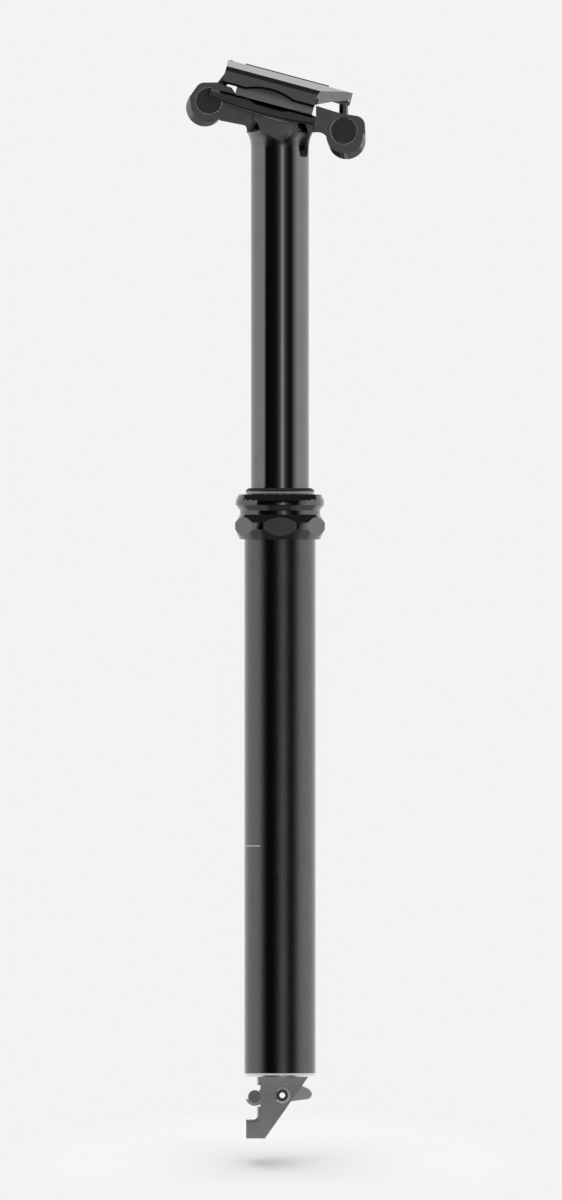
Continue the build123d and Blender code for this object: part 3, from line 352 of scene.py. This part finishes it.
STANCHION = Finish("stanchion_gloss_black", (0.155, 0.155, 0.155), 0.06, grain=0.02, blotch=0.02)
TUBE = Finish(
    "tube_satin_black", (0.1, 0.1, 0.1), 0.14, grain=0.15, grain_size=0.00055, grain_height=0.00012
)
COLLAR = Finish("collar_black", (0.105, 0.105, 0.105), 0.08, grain=0.05, grain_size=0.0005)
HEAD = Finish("head_satin_black", (0.15, 0.15, 0.15), 0.25, grain_height=0.000002)
CLAMP = Finish("clamp_satin_black", (0.155, 0.155, 0.155), 0.15, grain_height=0.000002)
CRADLE = Finish("cradle_satin_black", (0.085, 0.085, 0.085), 0.15, grain_height=0.000002)
NUT = Finish("nut_black_oxide", (0.07, 0.07, 0.07), 0.25, grain=0.05)
BOLT = Finish("bolt_black_oxide", (0.16, 0.16, 0.16), 0.25, grain=0.05)
RUBBER = Finish("seal_rubber", (0.012, 0.012, 0.012), 0.55, metallic=0.0, grain=0.1)
BRACKET = Finish(
    "bracket_grey", (0.52, 0.52, 0.52), 0.5, grain=0.2, grain_size=0.0008, grain_height=0.00002
)
LEVER = Finish("lever_warm_grey", (0.7, 0.7, 0.65), 0.6, metallic=0.85, grain=0.12)
CLIP = Finish("clip_bright_steel", (0.92, 0.9, 0.86), 0.6, metallic=0.55, grain=0.05)
STEEL = Finish("bright_steel", (0.55, 0.54, 0.52), 0.22, grain=0.05)
PIN = Finish("pin_dark_steel", (0.13, 0.12, 0.11), 0.35, grain=0.05)
BARREL = Finish("barrel_grey", (0.36, 0.36, 0.36), 0.42)
BARE = Finish("bare_aluminium", (0.65, 0.65, 0.66), 0.3, grain=0.05)
PLASTIC = Finish("bushing_plastic", (0.22, 0.24, 0.22), 0.5, metallic=0.0)
BRASS = Finish("key_brass", (0.68, 0.52, 0.25), 0.3)

INSERTION_LINE = Patch((0.6, 0.6, 0.6), 0.5, 0.0)
TUBE_BEVEL = Patch((0.8, 0.8, 0.8), 0.35, 0.3)
SEAL_BAND = Patch((0.62, 0.62, 0.62), 0.35, 0.0)
# Painted highlight: a bright ring on the rims of the nuts' bores in the head.
BORE_RIM_HIGHLIGHT = Patch((0.85, 0.85, 0.85), 0.3, 1.0)
# Painted highlight on the nuts' chamfers, beyond their faces.
NUT_RIM_HIGHLIGHT = Patch((0.4, 0.4, 0.4), 0.25, 1.0)
# Painted shade along the rounded feet of the clamp top's skirts.
SKIRT_FOOT_SHADE = Patch((0.02, 0.02, 0.02), 0.3, 1.0)
# Painted light on the ribs beside the rails, fading out upwards under the skirts.
RIB_FOOT_LIGHT = Patch((0.37, 0.37, 0.37), 0.35, 1.0)


def finish_nodes(finish: Finish, *names: str) -> None:
    """Gives CAD nodes a finish.

    Args:
        finish: the finish.
        names: the CAD nodes.
    """
    material = finish.material()
    for name in names:
        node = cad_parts[name]
        node.data.materials.clear()
        node.data.materials.append(material)
    log.info("%s on %s", finish.name, ", ".join(names))


def sharpen_flats(mesh: bpy.types.Mesh, least_area: float) -> None:
    """Keeps the outline of broad flat faces sharp where they meet a curve at a small angle.

    The long strips that make up a tube's wall are not broad for their outline, and stay smooth.

    Args:
        mesh: the mesh to change.
        least_area: area from which a face counts as broad.
    """
    shape = bmesh.new()
    shape.from_mesh(mesh)
    flats = {
        face
        for face in shape.faces
        if face.calc_area() > max(least_area, LEAST_COMPACT * face.calc_perimeter() ** 2)
    }
    for edge in shape.edges:
        if flats.intersection(edge.link_faces):
            edge.smooth = False
    shape.to_mesh(mesh)
    shape.free()


def press_on(mesh: bpy.types.Mesh, axis: Vector, radius: float, gap: float) -> None:
    """Moves a rocking surface outwards to its seat, so that no light shows between them.

    Args:
        mesh: the mesh to change.
        axis: a point of the rocking axis, which runs across the object.
        radius: radius of the surface.
        gap: how far to move it.
    """
    shape = bmesh.new()
    shape.from_mesh(mesh)
    for vertex in shape.verts:
        arm = Vector((vertex.co.x - axis.x, 0.0, vertex.co.z - axis.z))
        if abs(arm.length - radius) < SURFACE_SLACK:
            vertex.co += arm.normalized() * gap
    shape.to_mesh(mesh)
    shape.free()


def round_foot(mesh: bpy.types.Mesh, half_width: float, up: Vector, width: float) -> None:
    """Rounds the lower edges of a piece's two outer sides.

    Args:
        mesh: the mesh to change.
        half_width: distance of the sides from the middle plane.
        up: the piece's own upward direction.
        width: width of the rounding.
    """
    shape = bmesh.new()
    shape.from_mesh(mesh)
    edges = []
    for edge in shape.edges:
        outermost = min(abs(vertex.co.y) for vertex in edge.verts) >= half_width - SURFACE_SLACK
        if len(edge.link_faces) != 2 or not outermost:
            continue
        side, other = sorted(edge.link_faces, key=lambda face: -abs(face.normal.y))
        if abs(side.normal.y) > SIDEWAYS and other.normal.dot(up) < DOWNWARD:
            edges.append(edge)
    bmesh.ops.bevel(
        shape,
        geom=edges,
        offset=width,
        offset_type="OFFSET",
        segments=FOOT_SEGMENTS,
        profile=0.5,
        affect="EDGES",
        clamp_overlap=True,
        material=-1,
    )
    shape.to_mesh(mesh)
    shape.free()
    log.info("%d lower edges rounded on %s", len(edges), mesh.name)


def merged(name: str) -> bpy.types.Mesh:
    """Copies a CAD node's mesh and joins its loose triangles into faces.

    Args:
        name: the CAD node.

    Returns:
        The new mesh.
    """
    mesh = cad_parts[name].data.copy()
    mesh.name = f"{name}_refined"
    shape = bmesh.new()
    shape.from_mesh(mesh)
    bmesh.ops.remove_doubles(shape, verts=shape.verts, dist=MERGE_DISTANCE)
    bmesh.ops.dissolve_degenerate(shape, edges=shape.edges, dist=MERGE_DISTANCE)
    bmesh.ops.dissolve_limit(
        shape, angle_limit=FACET_ANGLE, verts=shape.verts, edges=shape.edges, delimit=set()
    )
    shape.to_mesh(mesh)
    shape.free()
    return mesh


def refined(
    name: str,
    body: str,
    finish: bpy.types.Material,
    round_off: float = 0.0,
    least_flat: float = 0.0,
    reshape: Callable[[bpy.types.Mesh], None] | None = None,
) -> None:
    """Makes a smooth, edge-rounded piece from a CAD node, which it replaces.

    Args:
        name: the CAD node.
        body: the body that the piece rides on.
        finish: its material.
        round_off: width of the edge rounding, or zero for none.
        least_flat: area from which a flat face's edges all stay sharp, or zero for none.
        reshape: changes the merged mesh before its edges are marked.
    """
    mesh = merged(name)
    if reshape is not None:
        reshape(mesh)
    mesh.materials.clear()
    mesh.materials.append(finish)
    piece = bpy.data.objects.new(f"{name}_piece", mesh)
    bpy.context.scene.collection.objects.link(piece)
    mesh.shade_smooth()
    mesh.set_sharp_from_angle(angle=SMOOTH_ANGLE)
    if least_flat:
        sharpen_flats(mesh, least_flat)
    if round_off:
        rounding = piece.modifiers.new("rounded_edges", "BEVEL")
        rounding.width = round_off
        rounding.segments = ROUNDING_SEGMENTS
        rounding.limit_method = "ANGLE"
        rounding.angle_limit = SMOOTH_ANGLE
        rounding.use_clamp_overlap = True
        rounding.harden_normals = True
    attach(piece, body)
    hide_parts(name)
    log.info("%s refined on %s", name, body)


@dataclass
class LowerPost:
    """Fixed tube with its collar, seal and inner parts."""

    mark_half_height: float = 0.00025
    mark_angle: float = math.radians(56.0)
    foot_band: float = 0.0009
    seal_band_low: float = 0.00228
    seal_band_high: float = 0.0016
    collar_flat: float = 0.00008
    collar_rounding: float = 0.0002
    seal_rounding: float = 0.0001

    def mark(self, graph: Graph, look: Look) -> Look:
        """Draws the line of least insertion and the bare bevel at the foot.

        Args:
            graph: the tube's node graph.
            look: the plain tube's look.

        Returns:
            The marked look.
        """
        low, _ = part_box("lower_tube")
        x, y, z = graph.axes(graph.place())
        around = y.size().angle_from(x * -1.0)
        line = (z.size() < self.mark_half_height) * (around < self.mark_angle)
        bevel = z < low.z + self.foot_band
        return look.patched(graph, line, INSERTION_LINE).patched(graph, bevel, TUBE_BEVEL)

    def seal_band(self, graph: Graph, look: Look) -> Look:
        """Gives the seal the bright metal band under its lip.

        Args:
            graph: the seal's node graph.
            look: the rubber's look.

        Returns:
            The banded look.
        """
        _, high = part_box("wiper_seal")
        _, _, z = graph.axes(graph.place())
        band = (z > high.z - self.seal_band_low) * (z < high.z - self.seal_band_high)
        return look.patched(graph, band, SEAL_BAND)

    def build(self) -> None:
        """Dresses the tube, collar, seal and inner parts."""
        collar = COLLAR.material()
        seal = RUBBER.material(self.seal_band)
        refined("lower_tube", "lower_post", TUBE.material(self.mark))
        refined("collar", "lower_post", collar, self.collar_rounding, self.collar_flat)
        refined("wiper_seal", "lower_post", seal, self.seal_rounding)
        finish_nodes(BARE, "foot_cap", "piston_head", "valve_lid")
        finish_nodes(RUBBER, "collar_o_ring", "foot_cap_o_ring", "bottom_out_bumper", "piston_ring")
        finish_nodes(PLASTIC, "upper_bushing")
        finish_nodes(STEEL, "damper_shaft", "valve_spring")


@dataclass
class UpperPost:
    """Sliding post with its forged head and inner parts."""

    flare: Span = (0.3085, 0.3105)
    head_flat: float = 0.00025
    head_rounding: float = 0.0002
    side: float = 0.0132
    side_slack: float = 0.00001
    rim_depth: float = 0.0004
    rim_radius: float = 0.0064

    def gloss(self, graph: Graph, look: Look) -> Look:
        """Makes the tube glossy below the head, and paints a highlight on the rims of the nuts'
        bores.

        Args:
            graph: the post's node graph.
            look: the head's look.

        Returns:
            The look of head and tube.
        """
        x, y, z = graph.axes(graph.place())
        head = z.ramp(*self.flare)
        rough = STANCHION.roughness + (look.rough - STANCHION.roughness) * head
        look = Look(look.colour, rough, look.metallic)
        within = y.size()
        level = (within > self.side - self.rim_depth) * (within < self.side - self.side_slack)
        for end in End:
            low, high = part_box(f"{end.value}_barrel_nut")
            across, up = x - (low.x + high.x) / 2, z - (low.z + high.z) / 2
            # Painted highlight round each nut's bore on the head's sides.
            rim = level * ((across * across + up * up) < self.rim_radius**2)
            look = look.patched(graph, rim, BORE_RIM_HIGHLIGHT)
        return look

    def build(self) -> None:
        """Dresses the post and its inner parts."""
        head = HEAD.material(self.gloss)
        refined("upper_post", "upper_post", head, self.head_rounding, self.head_flat)
        finish_nodes(PLASTIC, "lower_bushing")
        finish_nodes(BRASS, "guide_keys")
        finish_nodes(RUBBER, "top_out_bumper", "shaft_seal", "floating_piston_ring")
        finish_nodes(BARE, "seal_head", "floating_piston")
        finish_nodes(STEEL, "gas_fill_screw")


@dataclass
class SaddleClamp:
    """Cradle, clamp top, bolts, washers and barrel nuts."""

    rounding: float = 0.0002
    flat: float = 0.00006
    tilt: float = math.radians(15.0)
    half_width: float = 0.0265
    rail_height: float = 0.3286
    nut_face_radius: float = 0.0054
    rocker: Vector = field(default_factory=lambda: Vector((0.004728, 0.0, 0.350109)))
    rocker_radius: float = 0.0297
    seat_gap: float = 0.00027
    belly_round: float = 0.0009
    skirt_round: float = 0.001
    skirt_shade: float = 0.0013
    brow_rise: float = 0.006
    rib_side: float = 0.0185
    rib_fade: Span = (-0.002, 0.004)

    def up(self) -> Vector:
        """The clamp's own upward direction."""
        return Vector((math.sin(self.tilt), 0.0, math.cos(self.tilt)))

    def rise(self, x: Socket, z: Socket) -> Socket:
        """Height above the rails' axes in the clamp's own tilted frame."""
        return x * math.sin(self.tilt) + (z - self.rail_height) * math.cos(self.tilt)

    def foot(self, graph: Graph, look: Look) -> Look:
        """Paints shade on the rounded feet of the skirts.

        Args:
            graph: the clamp top's node graph.
            look: its plain look.

        Returns:
            The look with painted shade on the feet.
        """
        x, y, z = graph.axes(graph.place())
        within = y.size() - self.half_width
        feet = (within < -SURFACE_SLACK) * (within > -self.skirt_shade)
        # Painted shade on the skirts' feet, below the brow.
        return look.patched(graph, feet * (self.rise(x, z) < self.brow_rise), SKIRT_FOOT_SHADE)

    def painted_rib_light(self, graph: Graph, look: Look) -> Look:
        """Paints light on the ribs beside the rails, fading out upwards from their feet.

        Args:
            graph: the cradle's node graph.
            look: its plain look.

        Returns:
            The look with painted light on the ribs.
        """
        x, y, z = graph.axes(graph.place())
        within = y.size() - self.rib_side
        inside = (within < SURFACE_SLACK) * (within > -SURFACE_SLACK)
        # Painted light, strongest at the ribs' feet and fading out with height.
        lit = inside * self.rise(x, z).ramp(*self.rib_fade, 1.0, 0.0)
        return look.patched(graph, lit, RIB_FOOT_LIGHT)

    def nut(self, end: End) -> bpy.types.Material:
        """Black nut with a painted highlight on the chamfer round its face.

        Args:
            end: which nut.

        Returns:
            The material.
        """
        low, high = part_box(f"{end.value}_barrel_nut")
        middle = (low + high) / 2

        def rim_highlight(graph: Graph, look: Look) -> Look:
            """Paints a highlight on the rim.

            Args:
                graph: the nut's node graph.
                look: its plain look.

            Returns:
                The look with a bright rim.
            """
            x, _, z = graph.axes(graph.place())
            across, up = x - middle.x, z - middle.z
            # Painted highlight on the chamfer beyond the nut's face.
            rim = (across * across + up * up) > self.nut_face_radius**2
            return look.patched(graph, rim, NUT_RIM_HIGHLIGHT)

        return NUT.material(rim_highlight)

    def shape_cradle(self, mesh: bpy.types.Mesh) -> None:
        """Seats the cradle's rocker and rounds its belly."""
        press_on(mesh, self.rocker, self.rocker_radius, self.seat_gap)
        round_foot(mesh, self.half_width, self.up(), self.belly_round)

    def shape_skirts(self, mesh: bpy.types.Mesh) -> None:
        """Rounds the feet of the clamp top's skirts."""
        round_foot(mesh, self.half_width, self.up(), self.skirt_round)

    def build(self) -> None:
        """Dresses the clamp."""
        for name, finish, reshape in (
            ("saddle_cradle", CRADLE.material(self.painted_rib_light), self.shape_cradle),
            ("saddle_clamp_top", CLAMP.material(self.foot), self.shape_skirts),
        ):
            refined(name, "saddle_clamp", finish, self.rounding, self.flat, reshape)
        for end in End:
            name = end.value
            refined(f"{name}_barrel_nut", f"{name}_nut", self.nut(end))
            refined(f"{name}_bolt", f"{name}_clamp_bolt", BOLT.material(), self.rounding)
            refined(f"{name}_washer", f"{name}_clamp_bolt", BOLT.material(), self.rounding)


@dataclass
class FootLever:
    """Bracket, pin, clip, lever and cable barrel."""

    rounding: float = 0.0002
    pin_rounding: float = 0.0001

    def build(self) -> None:
        """Dresses the lever and its bracket."""
        refined("actuator_bracket", "lower_post", BRACKET.material(), self.rounding)
        refined("lever_pin", "lower_post", PIN.material(), self.pin_rounding)
        refined("e_clip", "lower_post", CLIP.material(), self.pin_rounding)
        refined("actuator_lever", "lever", LEVER.material(), self.rounding)
        refined("cable_barrel", "barrel", BARREL.material(), self.rounding)
        finish_nodes(STEEL, "barrel_screw", "push_rod", "valve_poppet")


@dataclass
class Surround:
    """The studio round the object, as its gloss shows it.

    Pale walls stand at the sides and behind, with a narrow strip light beside the camera. The
    front and the ceiling are dark, but for a round light overhead, and the floor is dim. The
    walls' and the strip's edges are azimuths in degrees from the camera, positive to its right.
    The other spans are heights of a direction, from minus one straight down to one straight up.
    """

    wall: float = 1.08
    left_edge: Span = (55.0, 69.0)
    right_edge: Span = (42.0, 78.0)
    right_gain: float = 0.14
    strip: float = 1.7
    strip_angle: float = 9.3
    strip_reach: float = 6.0
    strip_rise: Span = (0.05, 0.3)
    dark: float = 0.02
    ceiling: Span = (0.385, 0.42)
    ceiling_light: float = 0.08
    zenith: Span = (0.95, 0.975)
    zenith_light: float = 1.4
    floor: Span = (-0.62, -0.5)
    floor_light: float = 0.3
    ground: float = 0.13

    def light(self, graph: Graph) -> Socket:
        """Brightness by direction.

        Args:
            graph: the world's node graph.

        Returns:
            The brightness socket.
        """
        x, y, z = graph.axes(graph.add("ShaderNodeTexCoord", {}, {}, "Generated"))
        turn = x.angle_from(y * -1.0) * math.degrees(1.0)
        left = (turn * -1.0).ramp(*self.left_edge)
        right = turn.ramp(*self.right_edge, 0.0, 1.0 + self.right_gain)
        strip = (turn - self.strip_angle).size().fading(self.strip_reach) * self.strip
        strip = strip * z.size().ramp(*self.strip_rise, 1.0, 0.0)
        ground = z.ramp(*self.floor, self.ground, 0.0)
        below = z.ramp(*self.floor, self.floor_light, 1.0)
        above = z.ramp(*self.ceiling, 1.0, 0.0)
        overhead = z.ramp(*self.zenith, 0.0, self.zenith_light)
        overhead = overhead + z.ramp(*self.ceiling, 0.0, self.ceiling_light)
        return ((left + right) * self.wall + strip) * below * above + ground + overhead + self.dark


@dataclass
class Studio:
    """Camera, light, backdrop and floor."""

    pixels_per_millimetre: float = 2.2615
    width: int = 562
    height: int = 1200
    axis_pixel: float = 280.05
    tube_foot_pixel: float = 1075.4
    distance: float = 3.0
    clip_end: float = 12.0
    backdrop: float = 0.896
    surround: Surround = field(default_factory=Surround)
    lamp_height: float = 1.1
    lamp_size: float = 2.0
    lamp_power: float = 33.0
    floor_pixel: float = 1163.8
    floor_radius: float = 0.13
    floor_segments: int = 96
    floor_clear: float = 0.05
    floor_edge: float = 0.95
    floor_tilt: float = math.radians(11.0)
    floor_colour: Colour = (0.69, 0.69, 0.69)

    def row(self, pixel: float) -> float:
        """Height in the scene of a row of the photograph."""
        low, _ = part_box("lower_tube")
        return low.z + (self.tube_foot_pixel - pixel) / self.pixels_per_millimetre * MILLIMETRE

    def camera(self) -> None:
        """Sets the camera square to the post's side."""
        data = bpy.data.cameras.new("camera")
        data.type = "ORTHO"
        data.ortho_scale = self.height / self.pixels_per_millimetre * MILLIMETRE
        data.clip_end = self.clip_end
        camera = bpy.data.objects.new("camera", data)
        across = (self.width / 2 - self.axis_pixel) / self.pixels_per_millimetre * MILLIMETRE
        camera.location = (across, -self.distance, self.row(self.height / 2))
        camera.rotation_euler = (math.radians(90.0), 0.0, 0.0)
        bpy.context.scene.collection.objects.link(camera)
        bpy.context.scene.camera = camera

    def world(self) -> None:
        """Shows the camera a plain pale backdrop and the object its surround."""
        world = bpy.data.worlds.new("studio")
        bpy.context.scene.world = world
        world.use_nodes = True
        graph = Graph(world.node_tree)
        seen = graph.add("ShaderNodeLightPath", {}, {}, "Is Camera Ray")
        level = seen * self.backdrop + (1.0 - seen) * self.surround.light(graph)
        inputs = {"Color": (1.0, 1.0, 1.0, 1.0), "Strength": level}
        background = graph.add("ShaderNodeBackground", {}, inputs)
        graph.make("ShaderNodeOutputWorld", {}, {"Surface": background})

    def lamp(self) -> None:
        """Hangs a wide soft lamp overhead, which the gloss doesn't show."""
        data = bpy.data.lights.new("overhead", "AREA")
        data.shape = "SQUARE"
        data.size = self.lamp_size
        data.energy = self.lamp_power
        lamp = bpy.data.objects.new("overhead", data)
        lamp.location = (0.0, 0.0, self.lamp_height)
        lamp.visible_glossy = False
        lamp.visible_camera = False
        bpy.context.scene.collection.objects.link(lamp)

    def floor_finish(self) -> bpy.types.Material:
        """Pale floor that fades out towards its rim and isn't seen from below.

        Returns:
            The material.
        """
        made = bpy.data.materials.new("floor_pale")
        made.use_nodes = True
        graph = Graph(made.node_tree)
        across, y, _ = graph.axes(graph.place())
        deep = y * (1.0 / math.cos(self.floor_tilt))
        away = across * across + deep * deep
        fade = away.ramp(self.floor_clear**2, self.floor_radius**2 * self.floor_edge)
        below = graph.add("ShaderNodeNewGeometry", {}, {}, "Backfacing")
        hidden = fade + (1.0 - fade) * below
        plain = graph.add("ShaderNodeBsdfDiffuse", {}, {"Color": (*self.floor_colour, 1.0)})
        clear = graph.add("ShaderNodeBsdfTransparent", {}, {})
        mixed = graph.add("ShaderNodeMixShader", {}, {0: hidden, 1: plain, 2: clear})
        graph.make("ShaderNodeOutputMaterial", {}, {"Surface": mixed})
        return made

    def floor(self) -> None:
        """Lays a pale floor under the foot that keeps its shadow."""
        shape = bmesh.new()
        bmesh.ops.create_circle(
            shape, cap_ends=True, segments=self.floor_segments, radius=self.floor_radius
        )
        centre = Matrix.Translation((0.0, 0.0, self.row(self.floor_pixel)))
        tilt = Matrix.Rotation(self.floor_tilt, 4, "X")
        bmesh.ops.transform(shape, matrix=centre @ tilt, verts=shape.verts)
        mesh = bpy.data.meshes.new("floor")
        shape.to_mesh(mesh)
        shape.free()
        mesh.materials.append(self.floor_finish())
        floor = bpy.data.objects.new("floor", mesh)
        bpy.context.scene.collection.objects.link(floor)

    def build(self) -> None:
        """Sets up the studio."""
        bpy.context.scene.view_settings.view_transform = "Standard"
        self.camera()
        self.world()
        self.lamp()
        self.floor()


def main() -> None:
    """Builds the studio and dresses each sub-assembly."""
    logging.basicConfig(level=logging.INFO, format="%(name)s: %(message)s")
    for assembly in (Studio(), LowerPost(), UpperPost(), SaddleClamp(), FootLever()):
        assembly.build()
        log.info("%s built", type(assembly).__name__)


if __name__ == "__main__":
    main()
